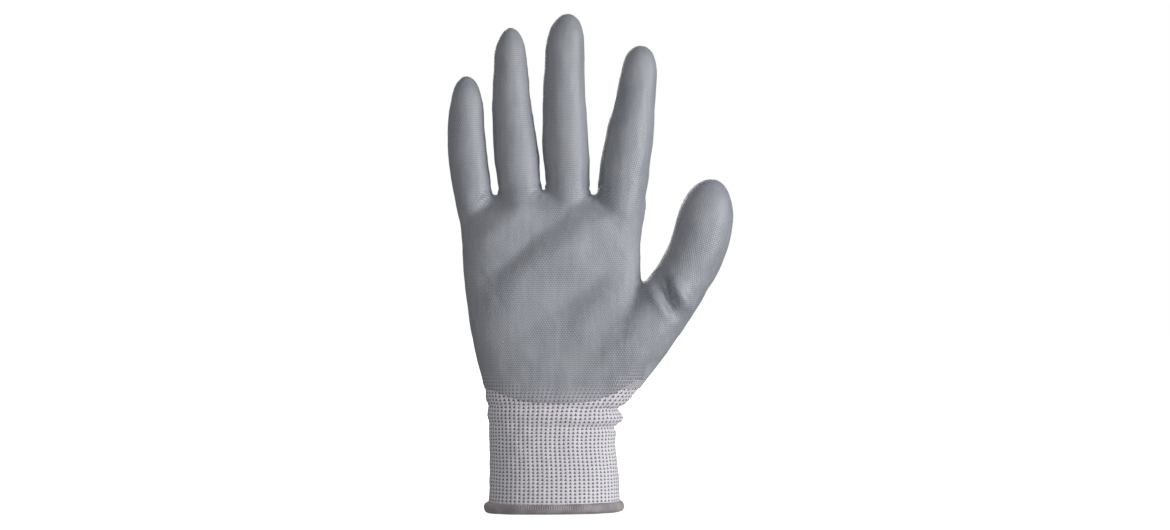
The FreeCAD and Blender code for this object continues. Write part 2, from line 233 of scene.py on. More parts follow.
# widths are rows of (along from the crotch, half width, bow to the thumb side)
stallShape = {
    "little": {
        "widths": [(-24, 6.5, 1.5), (-10, 8.6, 0.6), (0.5, 9.3, 0), (6, 9.45, -0.45), (16, 9.5, -1.3),
                   (26, 9.2, -1.6), (35, 8.8, -1.1), (40, 8.4, -0.8), (60, 8.4, 0.2)],
        "domeStart": 38, "domeEnd": 57.0, "domePower": 2.0,
    },
    "ring": {
        "widths": [(-24, 8, 1.5), (-10, 10.2, 0.9), (5, 10.5, 0.5), (16, 10.9, 0.1), (26, 10.5, -0.2),
                   (36, 10.0, -0.55), (46, 9.3, -0.65), (56, 8.6, -0.25), (66, 7.9, 0.1), (82, 7.9, 1.2)],
        "domeStart": 62, "domeEnd": 81.0, "domePower": 2.3,
    },
    "middle": {
        "widths": [(-24, 8, 0), (-10, 10.6, 0.1), (5, 10.8, 0.1), (16, 11.2, -0.4), (26, 11.2, -0.9),
                   (40, 10.6, -1.2), (56, 10.0, -1.45), (70, 9.5, -0.9), (90, 9.4, 0.7)],
        "domeStart": 70, "domeEnd": 88.0, "domePower": 2.3,
    },
    "index": {
        "widths": [(-24, 8.5, -0.5), (-10, 11.2, -0.6), (5, 12.2, -0.8), (11, 12.2, -0.9),
                   (21, 11.9, -0.6), (31, 11.3, -0.5), (41, 10.2, -0.2), (51, 9.4, -0.25),
                   (61, 8.8, -0.4), (75, 8.8, -0.9)],
        "domeStart": 56, "domeEnd": 72.6, "domePower": 2.4,
    },
    "thumb": {
        "widths": [(-62, 12.5, -1.0), (-45, 14.0, -2.0), (-20, 14.2, -2.0), (0, 13.7, 3.2), (9, 13.9, 4.1),
                   (18, 14.0, 4.2), (27, 13.8, 3.0), (36, 13.4, 1.6), (50, 13.4, 0.4)],
        "domeStart": 27, "domeEnd": 49.0, "domePower": 2.1,
    },
}
stallRings = {"depth": 0.95, "sides": 40, "pitch": 1.6, "smallest": 0.4}  # depth is against the width


def stallRadius(finger, along):
    shape = stallShape[finger]
    width = curveThrough(shape["widths"], along)[:, 0]
    domeLength = shape["domeEnd"] - shape["domeStart"]
    t = np.clip((np.atleast_1d(along) - shape["domeStart"]) / domeLength, 0, 1)
    return width * np.sqrt(np.clip(1 - t ** shape["domePower"], 0, 1))


def stallCentre(finger, along):
    stall = stalls[finger]
    bow = curveThrough(stallShape[finger]["widths"], along)[:, 1]
    along = np.atleast_1d(along)
    return stall["root"] + along[:, None] * stall["direction"] + bow[:, None] * stall["across"]


# places along a stall, closer together towards its end
def domeRings(start, finger):
    shape = stallShape[finger]
    straight = np.arange(start, shape["domeStart"], stallRings["pitch"])
    turn = np.linspace(0, 1, 15)[:-1]
    dome = shape["domeStart"] + (shape["domeEnd"] - shape["domeStart"]) * np.sin(turn * math.pi / 2)
    return np.concatenate([straight, dome, [shape["domeEnd"] - 0.03]])


def makeStall(finger):
    along = domeRings(stallShape[finger]["widths"][0][0] + 2, finger)
    radius = np.maximum(stallRadius(finger, along), stallRings["smallest"])
    across = np.repeat(stalls[finger]["across"][None], len(along), 0)
    piece = ringTube(f"{finger}_stall", stallRings["sides"], len(along))
    depth = radius * stallRings["depth"]
    roundness = np.full(len(along), 2.0)
    shapeTube(piece, stallCentre(finger, along), across, radius, depth, depth, roundness)
    return piece


# the thumb's root leans further out than the thumb: (height, middle x, half width, forward)
thumbRootLine = [
    (48, 15, 10.0, -3.5), (56, 20.5, 12.0, -3.4), (66, 28.8, 13.6, -3.2), (76.5, 36.8, 14.3, -3.0),
    (86.5, 44.0, 14.6, -2.6), (96.5, 50.6, 14.6, -2.0), (106.5, 57.3, 14.4, -1.2),
    (114, 62.5, 13.9, -0.7), (122, 67.5, 13.6, -0.3),
]


def makeThumb():
    high = domeRings(3.0, "thumb")
    heights = np.arange(48, 119, stallRings["pitch"])
    line = curveThrough(thumbRootLine, heights)
    low = np.stack([line[:, 0], line[:, 2], heights], 1)
    centres = np.concatenate([low, stallCentre("thumb", high)])
    radius = np.concatenate([line[:, 1], np.maximum(stallRadius("thumb", high), stallRings["smallest"])])
    lean = np.gradient(centres, axis=0)
    lean[:, 1] = 0
    lean /= np.linalg.norm(lean, axis=1)[:, None]
    across = np.stack([lean[:, 2], np.zeros(len(lean)), -lean[:, 0]], 1)
    piece = ringTube("thumb_stall", stallRings["sides"], len(centres))
    back = radius * stallRings["depth"]
    shapeTube(piece, centres, across, radius, radius, back, np.full(len(centres), 2.0))
    return piece


# cuff, wrist and palm outline: (height, left, right, front, back, squareness)
handOutline = [
    (-2, -33.0, 33.6, 21.5, 21.5, 2.2),
    (20, -32.1, 32.9, 20.5, 20.5, 2.2),
    (38, -32.4, 31.6, 19.6, 19.4, 2.2),
    (46, -32.9, 33.2, 19.3, 19.0, 2.2),
    (52, -33.3, 35.2, 19.1, 18.7, 2.2),
    (58, -34.0, 38.0, 19.0, 18.2, 2.3),
    (62, -34.6, 41.2, 18.9, 17.9, 2.4),
    (67, -35.4, 44.2, 18.8, 17.4, 2.6),
    (74, -37.0, 45.8, 18.5, 16.9, 2.7),
    (84, -39.2, 45.6, 17.9, 16.1, 2.7),
    (100, -42.2, 43.6, 16.6, 14.8, 2.6),
    (118, -44.4, 43.4, 15.4, 13.8, 2.4),
    (138, -45.6, 43.6, 14.4, 13.0, 2.4),
    (150, -46.9, 45.6, 12.2, 11.4, 2.3),
    (156, -47.6, 46.3, 9.0, 8.8, 2.2),
    (160, -47.0, 45.4, 5.4, 5.4, 2.0),
    (161.5, -44.5, 42.0, 2.0, 2.0, 2.0),
]
# how far the palm's top edge drops between the stalls: (x, drop)
crotchDrop = [(-50, -3), (-30, -4.2), (-17, -2), (-5, -0.3), (8, -1.8), (21, -3.2), (48, -3)]


def outlineAt(height):
    left, right, front, back, square = curveThrough(handOutline, height).T
    return (left + right) / 2, (right - left) / 2, front, back, square


def makePalm():
    heights = np.arange(46, 161.3, stallRings["pitch"])
    heights[-1] = 161.2
    middle, half, front, back, square = outlineAt(heights)
    centres = np.stack([middle, np.zeros(len(heights)), heights], 1)
    across = np.repeat(np.array([[1.0, 0, 0]]), len(heights), 0)
    piece = ringTube("palm_form", 72, len(heights))
    shapeTube(piece, centres, across, half, front, back, square)
    points = meshPoints(piece)
    nearTop = softStep(points[:, 2] / mm, 146, 161)
    drop = curveThrough(crotchDrop, points[:, 0] / mm)[:, 0] * nearTop
    points[:, 2] += drop * mm
    setPoints(piece, points)
    return piece


# folds go all round: height at the thumb side and far side, depth at each, half height
wristFolds = [
    (55.8, 57.2, 0.2, 0.45, 2.4),
    (51.2, 53.4, -2.3, -0.45, 1.6),
    (46.8, 49.4, 1.8, 0.35, 2.3),
    (42.4, 44.6, -1.7, -0.3, 1.6),
]
palmMounds = [  # x, z, height, reach across, reach along, turn in degrees
    (-30, 90, 1.6, 13, 22, 0),
    (36, 84, 1.6, 12, 16, -30),
    (-41, 151, 1.4, 6, 7, 0),
    (-17.5, 154, 1.5, 7, 7, 0),
    (7, 154, 1.6, 7, 7, 0),
    (34, 150, 1.4, 8, 12, 0),
]
palmCreases = [  # from x, z to x, z, depth, half width
    (-51, 142, -30, 158, -2.4, 4.5),
    (-47, 126, -14, 152, 2.4, 6.2),
    (-34, 117, 10, 151, -2.0, 5.6),
    (-29, 106, 28, 148, 2.3, 8.0),
    (-4, 98, 35, 129, -1.9, 8.4),
    (8, 88, 42, 114, 1.2, 9.0),
    (22, 64, 45, 108, 1.2, 6.5),
    (54.0, 119, 59.8, 98.5, -4.4, 2.8),
    (49, 121, 55, 110, -1.2, 3.5),
    (57.8, 117, 68.2, 100.5, 2.5, 3.2),
    (46.5, 113, 58.5, 96.5, 1.3, 2.7),
]
# small puckers fan out from these places, as x and z
crotches = [(-29.6, 158.0), (-5.2, 161.5), (21.5, 159.5)]


def segmentDistance(points, x1, z1, x2, z2):
    line = np.array([x2 - x1, z2 - z1])
    x, z = points[:, 0] - x1, points[:, 2] - z1
    t = np.clip((x * line[0] + z * line[1]) / (line @ line), 0, 1)
    return np.hypot(points[:, 0] - x1 - t * line[0], points[:, 2] - z1 - t * line[1]), t


def unevenness(points, size, amount):
    values = [noise.noise(Vector(point) / size) for point in points]
    return amount * np.array(values)


# how far the cloth stands out or in: wrist folds all round, the rest on the palm side
def foldDepth(points):
    x, y, z = points.T
    depth = np.zeros(len(points))
    nearThumb = softStep(x, -34, 34)
    for thumbHeight, farHeight, thumbDepth, farDepth, reach in wristFolds:
        line = farHeight + (thumbHeight - farHeight) * nearThumb
        height = farDepth + (thumbDepth - farDepth) * nearThumb ** 1.6
        depth += height * np.exp(-((z - line) / reach) ** 2)
    front = softStep(-y, 1.0, 7.0)
    for cx, cz, height, across, along, turn in palmMounds:
        c, s = math.cos(math.radians(turn)), math.sin(math.radians(turn))
        u = ((x - cx) * c + (z - cz) * s) / across
        v = (-(x - cx) * s + (z - cz) * c) / along
        depth += front * height * np.exp(-u * u - v * v)
    bent = points.copy()
    bent[:, 0] += unevenness(points, 22.0, 3.2)
    bent[:, 2] += unevenness(points + 50, 22.0, 3.2)
    for x1, z1, x2, z2, height, reach in palmCreases:
        away, t = segmentDistance(bent if x1 < 44 else points, x1, z1, x2, z2)
        ends = np.sqrt(np.clip(np.sin(np.clip(t, 0.02, 0.98) * math.pi), 0, 1))
        depth += front * height * ends * np.exp(-(away / reach) ** 2)
    for cx, cz in crotches:
        away = np.hypot(x - cx, z - cz)
        turn = np.arctan2(x - cx, cz - z)
        ring = np.exp(-((away - 3.5) / 2.6) ** 2)
        depth += 0.28 * np.cos(turn * 8 + 1.0) * ring * softStep(away, 0.5, 2.5)
    return depth


def joinPieces(pieces, name):
    makeActive(pieces[0])
    for piece in pieces:
        piece.select_set(True)
    bpy.ops.object.join()
    pieces[0].name = name
    return pieces[0]


def smoothNear(piece, mask, repeats):
    makeActive(piece)
    group = piece.vertex_groups.new(name="soft")
    for index, weight in enumerate(mask):
        if weight > 0.01:
            group.add([index], float(weight), "REPLACE")
    applyModifier(piece, "SMOOTH", factor=0.5, iterations=repeats, vertex_group="soft")
    piece.vertex_groups.clear()


outerFace = {  # smoothed places are (x, z) or a height, with their reach and passes
    "voxel": 1.15, "passes": 8,
    "web": (46, 116), "webReach": 9, "webPasses": 22,
    "fingerRoots": 155, "rootReach": 9, "rootPasses": 14,
    "seamInset": 4, "seamReach": 11, "seamPasses": 110,
    "broadWaves": (9.0, 0.34), "fineWaves": (3.5, 0.08),
}


# the glove's whole outer face as one mesh
def makeOuterFace():
    spec = outerFace
    pieces = [makePalm(), makeThumb()] + [makeStall(finger) for finger in fingerNames]
    hand = joinPieces(pieces, "outer_face")
    voxel = spec["voxel"] * mm
    applyModifier(hand, "REMESH", mode="VOXEL", voxel_size=voxel, use_smooth_shade=True)
    applyModifier(hand, "SMOOTH", factor=0.5, iterations=spec["passes"])
    points = meshPoints(hand) / mm
    away = (points[:, 0] - spec["web"][0]) ** 2 + (points[:, 2] - spec["web"][1]) ** 2
    smoothNear(hand, np.exp(-away / spec["webReach"] ** 2), spec["webPasses"])
    points = meshPoints(hand) / mm
    roots = np.exp(-((points[:, 2] - spec["fingerRoots"]) / spec["rootReach"]) ** 2)
    smoothNear(hand, roots * (np.abs(points[:, 0]) < 60), spec["rootPasses"])
    middle, half = outlineAt(points[:, 2])[:2]
    rootLine = softStep(points[:, 2], 56, 66) * (1 - softStep(points[:, 2], 106, 118))
    away = points[:, 0] - middle - half + spec["seamInset"]
    smoothNear(hand, rootLine * np.exp(-(away / spec["seamReach"]) ** 2), spec["seamPasses"])
    points, normals = meshPoints(hand) / mm, meshNormals(hand)
    depth = foldDepth(points) + unevenness(points, *spec["broadWaves"])
    depth += unevenness(points, *spec["fineWaves"])
    setPoints(hand, (points + normals * depth[:, None]) * mm)
    applyModifier(hand, "SMOOTH", factor=0.4, iterations=1)
    return hand


hand = makeOuterFace()
print("stage: outer face", len(hand.data.vertices), "vertices")

# the coating's lower edge on the palm side: (x, height)
dipLine = [
    (-36, 64.5), (-30, 62), (-22, 58.5), (-10, 56), (0, 55.5),
    (13, 55.6), (22, 57), (28, 59), (34, 62), (41, 67),
]
# where each stall is cut into pieces, along from the crotch
splits = {
    "little": (0.3, 13.8, 34), "ring": (0.3, 18, 46), "middle": (0.3, 19, 50),
    "index": (0.3, 17, 43), "thumb": (-5.5, 10),
}
partNames = {3: ("base", "mid", "tip"), 2: ("base", "tip")}
knitStart = 62  # height where the hand's knit takes over from the cuff's


# distance along a stall and sideways from its axis
def alongStall(finger, points):
    stall = stalls[finger]
    away = points - stall["root"]
    return away @ stall["direction"], away @ stall["across"]


# name of the stall each point is on, or palm
def stallOwner(points):
    owner = np.full(len(points), "palm", dtype=object)
    nearest = np.full(len(points), 1e9)
    for finger in fingerNames:
        along, aside = alongStall(finger, points)
        width, bow = curveThrough(stallShape[finger]["widths"], along).T
        away = np.abs(aside - bow) / width
        mine = (along > splits[finger][0]) & (away < nearest) & (away < 1.35) & (points[:, 2] > 150)
        owner[mine] = finger
        nearest[mine] = away[mine]
    along, aside = alongStall("thumb", points)
    beside = (aside > -17.5) & (aside < 30)  # keeps the far side of the palm out of the thumb
    owner[(along > splits["thumb"][0]) & beside & (owner == "palm")] = "thumb"
    return owner


coatEdge = {"back": 1.5, "atThumbSide": -8.5, "overTip": 22, "tipStart": 17, "tipEnd": 3}
# small dips in the edge on two fingers: depth, then along from, to, from, to
edgeDips = {"index": (3.6, 30, 36, 46, 51), "ring": (2.2, 47, 51, 55, 60)}


# how far round towards the back the coating reaches: the y where it ends
def edgeDepth(points, owner):
    x, y, z = points.T
    edge = np.full(len(points), coatEdge["back"])
    low = softStep(z, 60, 68) * (1 - softStep(z, 84, 100))
    edge += coatEdge["atThumbSide"] * softStep(x, 20, 34) * low
    for finger, (depth, start, full, ebb, end) in edgeDips.items():
        along, aside = alongStall(finger, points)
        dip = softStep(-aside, 4, 8) * softStep(along, start, full) * (1 - softStep(along, ebb, end))
        edge -= depth * dip * (owner == finger)
    for finger in stalls:
        along, _ = alongStall(finger, points)
        end = stallShape[finger]["domeEnd"]
        wrap = softStep(along, end - coatEdge["tipStart"], end - coatEdge["tipEnd"])
        edge += np.where(owner == finger, coatEdge["overTip"] * wrap, 0)
    return edge


# above zero where the hand is coated
def coatField(points, owner):
    ragged = unevenness(points, 5.0, 0.5) + unevenness(points, 1.7, 0.18)
    low = points[:, 2] - curveThrough(dipLine, points[:, 0])[:, 0] + 0.8 * ragged
    side = edgeDepth(points, owner) + ragged - points[:, 1]
    return np.minimum(low, side)


# puts new edges where the values change sign, so that faces lie wholly on one side
def cutAlong(shape, values):
    snap = 0.12  # a cut nearer than this share of an edge to its end takes the end
    shape.verts.ensure_lookup_table()
    shape.verts.index_update()
    level = shape.verts.layers.float.new("level")
    for vert, value in zip(shape.verts, values):
        vert[level] = value
    for edge in list(shape.edges):
        a, b = edge.verts
        if a[level] * b[level] < 0:
            share = a[level] / (a[level] - b[level])
            if share < snap:
                a[level] = 0.0
            elif share > 1 - snap:
                b[level] = 0.0
    for edge in list(shape.edges):
        a, b = edge.verts
        if a[level] * b[level] < 0:
            _, vert = bmesh.utils.edge_split(edge, a, a[level] / (a[level] - b[level]))
            vert[level] = 0.0
    for face in list(shape.faces):
        signs = [vert[level] for vert in face.verts]
        if max(signs) <= 0 or min(signs) >= 0:
            continue
        zero = [vert for vert in face.verts if vert[level] == 0]
        if len(zero) == 2 and all(edge.other_vert(zero[0]) != zero[1] for edge in zero[0].link_edges):
            bmesh.utils.face_split(face, zero[0], zero[1])
    shape.verts.layers.float.remove(level)


def shapePoints(shape):
    return np.array([vert.co[:] for vert in shape.verts]) / mm


# cuts the outer face along the coating's edge and at the splits, and gives every face its piece
def splitHand(hand):
    shape = bmesh.new()
    shape.from_mesh(hand.data)
    points = shapePoints(shape)
    cutAlong(shape, coatField(points, stallOwner(points)))
    for finger, places in splits.items():
        for place in places:
            points = shapePoints(shape)
            along, _ = alongStall(finger, points)
            owner = stallOwner(points + stalls[finger]["direction"] * 0.8)
            cutAlong(shape, np.where(owner == finger, along - place, 0))
    cutAlong(shape, shapePoints(shape)[:, 2] - knitStart)
    shape.faces.ensure_lookup_table()
    middles = np.array([face.calc_center_median()[:] for face in shape.faces]) / mm
    owners = stallOwner(middles)
    coated = coatField(middles, owners) > 0
    faceParts = []
    for place, owner, coat in zip(middles, owners, coated):
        if owner == "palm":
            part = "palm" if coat or place[2] >= knitStart else "none"
        else:
            along = alongStall(owner, place[None])[0][0]
            count = sum(along > split for split in splits[owner])
            part = f"{owner}_{partNames[len(splits[owner])][max(count - 1, 0)]}"
        faceParts.append((part, bool(coat)))
    shape.to_mesh(hand.data)
    shape.free()
    return faceParts


faceParts = splitHand(hand)
wholeNormals = meshNormals(hand)
handFaces = [tuple(polygon.vertices) for polygon in hand.data.polygons]
handPoints = meshPoints(hand)
print("stage: outer face cut into pieces")

handWeave = {"wale": 1.25, "course": 1.0, "wall": 1.0}
coat = {"under": 0.02, "over": 0.35}
cuffKnit = {
    "wales": 74, "acrossStitch": 4, "upStitch": 3, "pitch": 1.78, "first": 0.6, "last": 63.4,
    "wall": 1.0, "under": 0.35, "rib": 0.10, "course": 0.11, "oval": (32, 20.5),
    "tuckFrom": 47, "tuckFull": 51, "tuckDepth": 0.45,
}


# the weave's own map: u counts wales, v counts courses
def drawWeave(piece, part):
    wale, course = handWeave["wale"], handWeave["course"]
    mesh = piece.data
    layer = mesh.uv_layers.new(name="weave")
    points = meshPoints(piece) / mm
    corners = cornerVertices(mesh)
    placed = points[corners]
    values = np.zeros((len(mesh.loops), 2))
    starts = [polygon.loop_start for polygon in mesh.polygons]
    sizes = [polygon.loop_total for polygon in mesh.polygons]
    finger = part.split("_")[0]
    if finger == "palm":
        means = [points[corners[start:start + size], 1].mean() for start, size in zip(starts, sizes)]
        middle = np.repeat(means, sizes)
        x, y, z = placed.T
        front = outlineAt(np.minimum(z, 132))[2]  # the rows run straight on over the finger roots
        side = np.clip(x / 20, -1, 1)
        near = (x + side * (y + front)) / wale
        far = (122 - x - side * (front - y)) / wale
        values[:, 0] = np.where(middle < 0, near, far)
        values[:, 1] = z / course
    else:
        along, aside = alongStall(finger, placed)
        shape = stallShape[finger]["widths"]
        aside = aside - curveThrough(shape, along)[:, 1]
        count = round(2 * math.pi * curveThrough(shape, 15)[0, 0] / wale)
        turn = np.arctan2(aside, -placed[:, 1])
        first = np.repeat(turn[starts], sizes)
        turn = turn + 2 * math.pi * np.round((first - turn) / (2 * math.pi))
        values[:, 0] = round(stalls[finger]["root"][0] / wale) + turn / (2 * math.pi) * count
        values[:, 1] = (along + palmTop) / course
    layer.data.foreach_set("uv", values.ravel())


# on the palm's coating: the cuff's stitch counts, and how near the dipped edge is
def drawStitches(piece):
    points = meshPoints(piece) / mm
    corners = cornerVertices(piece.data)
    middle, half = outlineAt(points[:, 2])[:2]
    walked = np.arcsin(np.clip((points[:, 0] - middle) / half, -1, 1))
    stitchesPerTurn = 16.0  # about in step with the cuff's wales at the front
    u, v = walked * stitchesPerTurn, (points[:, 2] - cuffKnit["first"]) / cuffKnit["pitch"]
    layer = piece.data.uv_layers.new(name="stitches")
    layer.data.foreach_set("uv", np.stack([u[corners], v[corners]], 1).ravel())
    above = points[:, 2] - curveThrough(dipLine, points[:, 0])[:, 0]
    near = (1 - softStep(above + unevenness(points, 6.0, 3.0), 2.0, 10.0)).astype(np.float32)
    attribute = piece.data.attributes.new("thin_coat", "FLOAT", "POINT")
    attribute.data.foreach_set("value", near)


# closed wall between two offsets from the outer face, over the faces of one piece
def makeShell(name, part, isCoat, low, high):
    lowest = knitStart * mm - 1e-6
    taken = [face for face, (itsPart, itsCoat) in zip(handFaces, faceParts)
             if itsPart == part and (itsCoat or not isCoat)
             and (isCoat or min(handPoints[v][2] for v in face) > lowest)]
    used = sorted({v for face in taken for v in face})
    number = {v: i for i, v in enumerate(used)}
    count = len(used)
    points, normals = handPoints[used], wholeNormals[used]
    top = [tuple(number[v] for v in face) for face in taken]
    bottom = [tuple(v + count for v in reversed(face)) for face in top]
    sides = dict.fromkeys(side for face in top for side in zip(face, face[1:] + face[:1]))
    rim = [(b, a, a + count, b + count) for a, b in sides if (b, a) not in sides]
    mesh = bpy.data.meshes.new(name)
    places = np.concatenate([points + normals * high * mm, points + normals * low * mm])
    mesh.from_pydata([tuple(place) for place in places], [], top + bottom + rim)
    piece = linkNew(name, mesh)
    smooth = np.ones(len(mesh.polygons), bool)
    smooth[len(top) + len(bottom):] = False
    mesh.polygons.foreach_set("use_smooth", smooth)
    loopNormals = np.concatenate([normals, -normals])[cornerVertices(mesh)]
    loopNormals[sum(len(face) for face in top + bottom):] = 0
    mesh.update()
    drawWeave(piece, part)
    mesh.normals_split_custom_set([tuple(normal) for normal in loopNormals])
    return piece


bendZones = {  # where each joint's cloth bends, along the stall, from and to
    "index": ((0.3, 12.7), (21.5, 37.5), (48.3, 54.8)),
    "middle": ((0.3, 12.2), (26.2, 41.8), (57.6, 64.4)),
    "ring": ((0.3, 11.4), (25.1, 38.9), (54.1, 59.9)),
    "little": ((0.3, 9.7), (17.85, 30.15), (37.7, 43.3)),
    "thumb": ((-5.3, 5.4), (15, 29)),
}
stallJoints = {3: ("base", "middle", "tip"), 2: ("base", "tip")}
stallBodies = {3: ("proximal", "middle", "distal"), 2: ("proximal", "distal")}
wristZone = Vector((0, 0, 40.7 * mm)), Vector((0, 0, 59.3 * mm))


# knit and coating of one part of the hand, which both bend between the same bodies
def makePair(part, bodies, zone):
    knit = makeShell(f"{part}_knit", part, False, -handWeave["wall"], 0)
    dipped = makeShell(f"{part}_coating", part, True, coat["under"], coat["over"])
    if part == "palm":
        drawStitches(dipped)
    for piece in (knit, dipped):
        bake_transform(piece, *bodies, *zone)
    knitPieces.append(knit)
    coatPieces.append(dipped)
    return knit, dipped


knitPieces, coatPieces = [], []
palmKnit, palmCoat = makePair("palm", ("cuff", "palm"), wristZone)
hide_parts("lower_palm_knit", "upper_palm_knit")
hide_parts("lower_palm_coat", "upper_palm_coat")
for finger, zones in bendZones.items():
    root, direction = stalls[finger]["root"], stalls[finger]["direction"]
    for index, places in enumerate(zones):
        hinge = stallJoints[len(zones)][index]
        body = stallBodies[len(zones)][index]
        joint = joints[f"{finger}_{hinge}_bend"]
        zone = [Vector((root + direction * place) * mm) for place in places]
        part = f"{finger}_{partNames[len(zones)][index]}"
        knit, dipped = makePair(part, (joint["parent"], joint["child"]), zone)
        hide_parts(f"{finger}_{hinge}_flex", f"{finger}_{body}_knit")
        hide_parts(f"{finger}_{body}_coat")
handTree = BVHTree.FromPolygons([tuple(point) for point in handPoints], handFaces)
bpy.data.objects.remove(hand)
print("stage: hand in", len(knitPieces) + len(coatPieces), "pieces")


# angles that give equal steps round an oval, starting from the back
def evenAngles(count, half, depth):
    fine = np.linspace(math.pi / 2, math.pi * 5 / 2, 4001)
    side, deep = squared(np.cos(fine), 2 / 2.2), squared(np.sin(fine), 2 / 2.2)
    steps = np.hypot(half * np.diff(side), depth * np.diff(deep))
    walked = np.concatenate([[0], np.cumsum(steps)])
    return np.interp(np.arange(count) / count * walked[-1], walked, fine)


def cuffPoint(angles, heights):
    middle, half, front, back, square = outlineAt(heights)
    side, deep = squared(np.cos(angles), 2 / square), squared(np.sin(angles), 2 / square)
    reach = np.where(deep < 0, front, back) - cuffKnit["under"]
    return np.stack([middle + side * (half - cuffKnit["under"]), deep * reach, heights], 1)


def cuffNormals(angles, heights):
    around = cuffPoint(angles + 0.01, heights) - cuffPoint(angles - 0.01, heights)
    normals = np.stack([around[:, 1], -around[:, 0], np.zeros(len(angles))], 1)
    return normals / np.linalg.norm(normals, axis=1)[:, None]


# draws the cuff's top in under the hand's outer face
def tuckUnder(points, heights):
    spec = cuffKnit
    for index in np.flatnonzero(heights > spec["tuckFrom"]):
        start = Vector((0, 0, heights[index])) * mm
        hit, _, _, reach = handTree.ray_cast(start, Vector(points[index]) * mm - start)
        if hit is not None:
            weight = float(softStep(heights[index], spec["tuckFrom"], spec["tuckFull"]))
            close = np.array(start + (hit - start) * (1 - spec["tuckDepth"] * mm / reach)) / mm
            points[index] += (close - points[index]) * weight


# the cuff's knit: stitches in relief, painted shade in the gaps between them in its material
def makeCuff():
    spec = cuffKnit
    columns = spec["wales"] * spec["acrossStitch"]
    courses = int((spec["last"] - spec["first"]) / spec["pitch"])
    rows = courses * spec["upStitch"] + 1
    angles = np.tile(evenAngles(columns, *spec["oval"]), rows)
    u = np.tile(np.arange(columns) / spec["acrossStitch"], rows)
    v = np.repeat(np.arange(rows) / spec["upStitch"], columns)
    heights = spec["first"] + v * spec["pitch"]
    points, normals = cuffPoint(angles, heights), cuffNormals(angles, heights)
    fold = foldDepth(points) * softStep(heights, 34, 42)
    stitch = np.cos(2 * math.pi * u) * spec["rib"] + np.cos(2 * math.pi * v) * spec["course"]
    stitch *= 1 - softStep(heights, 56.5, 59.5)
    wobble = unevenness(points, 6.0, 0.3) + unevenness(points, 2.0, 0.08)
    smooth = points + normals * (fold + wobble)[:, None]
    tuckUnder(smooth, heights)
    outside = smooth + normals * stitch[:, None]
    slip = unevenness(points + 100, 4.0, 0.35)
    outside[:, 2] += slip * softStep(heights, 6, 10)
    inside = smooth - normals * spec["wall"]
    count = len(points)
    index = np.arange(count).reshape(rows, columns)
    beside = np.roll(index, -1, 1)
    outer = np.stack([index[:-1], beside[:-1], beside[1:], index[1:]], -1).reshape(-1, 4)
    inner = outer[:, ::-1] + count
    low = np.stack([index[0], index[0] + count, beside[0] + count, beside[0]], -1)
    high = np.stack([index[-1], beside[-1], beside[-1] + count, index[-1] + count], -1)
    faces = np.concatenate([outer, inner, low, high])
    mesh = bpy.data.meshes.new("cuff_knit")
    places = np.concatenate([outside, inside]) * mm
    mesh.from_pydata([tuple(place) for place in places], [], faces.tolist())
    piece = linkNew("cuff_stitches", mesh)
    mesh.polygons.foreach_set("use_smooth", np.ones(len(mesh.polygons), bool))
    layer = mesh.uv_layers.new(name="weave")
    corners = cornerVertices(mesh) % count
    first = np.repeat(u[corners][::4], 4)
    turned = u[corners] + spec["wales"] * np.round((first - u[corners]) / spec["wales"])
    layer.data.foreach_set("uv", np.stack([turned, v[corners]], 1).ravel())
    mesh.update()
    return piece


cuff = makeCuff()
turnFacesOut(cuff)
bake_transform(cuff, "cuff", "palm", *wristZone)
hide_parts("cuff_knit", "wrist_flex_knit")

hemRoll = {
    "wraps": 156, "perWrap": 4, "oval": (33, 21.5), "height": 5.5, "middle": 0.35, "half": 1.75,
    "relief": 0.22, "unevenness": 0.06,
}
elasticYarns = {"count": 9, "first": 9.35, "step": 3.8, "half": 0.42, "bead": 0.07, "around": 228}


# a closed ring whose points are placed by place(step round the cuff, angle round the section)
def ovalRing(name, around, section, place):
    index = np.arange(around * section)
    step, turn = index // section, index % section
    grid = index.reshape(around, section)
    a, b = grid, np.roll(grid, -1, 1)
    faces = np.stack([a, b, np.roll(b, -1, 0), np.roll(a, -1, 0)], -1).reshape(-1, 4)
    mesh = bpy.data.meshes.new(name)
    points = place(step, turn * 2 * math.pi / section) * mm
    mesh.from_pydata([tuple(point) for point in points], [], faces.tolist())
    piece = linkNew(name, mesh)
    turnFacesOut(piece)
    bpy.ops.object.shade_smooth()
    return piece


def placeOnCuff(angles, heights, outwards):
    return cuffPoint(angles, heights) + cuffNormals(angles, heights) * outwards[:, None]


def placeHem(step, turn):
    angles = evenAngles(hemRoll["wraps"] * hemRoll["perWrap"], *hemRoll["oval"])[step]
    wrap = step / hemRoll["perWrap"] - turn / (2 * math.pi) * 0.5
    relief = hemRoll["relief"] * np.cos(2 * math.pi * wrap) + hemRoll["unevenness"] * np.sin(step * 1.7)
    low = 0.5 + 0.35 * np.cos(angles)
    middle, half = low + hemRoll["height"] / 2 - 0.4, hemRoll["height"] / 2 - 0.25
    outwards = hemRoll["middle"] + (hemRoll["half"] + relief) * np.cos(turn)
    points = placeOnCuff(angles, np.full(len(angles), 1.0), outwards)
    points[:, 2] = middle + (half + relief) * np.sin(turn)
    return points


hem = ovalRing("hem_thread", hemRoll["wraps"] * hemRoll["perWrap"], 16, placeHem)
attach(hem, "cuff")
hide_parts("hem_binding")

